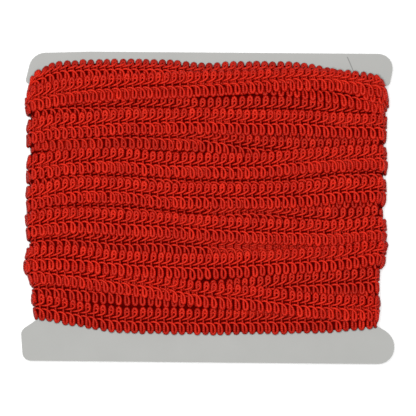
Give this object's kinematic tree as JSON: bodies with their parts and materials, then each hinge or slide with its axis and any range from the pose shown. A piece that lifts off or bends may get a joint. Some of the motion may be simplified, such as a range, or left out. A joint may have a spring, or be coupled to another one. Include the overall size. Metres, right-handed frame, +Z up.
{
  "type": "roll of gimp braid",
  "caption": "Narrow looped braid trimming wound flat round a waisted storage card whose bare ends stand clear above and below.",
  "frame": {"origin": "on the surface the roll lies on, under the middle of its outline", "axes": "+X along the turns to the right of the picture, +Y towards the card's upper end, +Z up out of the front face"},
  "size_m": [0.1804, 0.15, 0.0138],
  "materials": {
    "card": "smooth pale grey board, matt",
    "braid": "red twisted yarn with a soft satin sheen"
  },
  "bodies": {
    "root": {"card": "card", "braid_winding": "braid"}
  },
  "joints": []
}
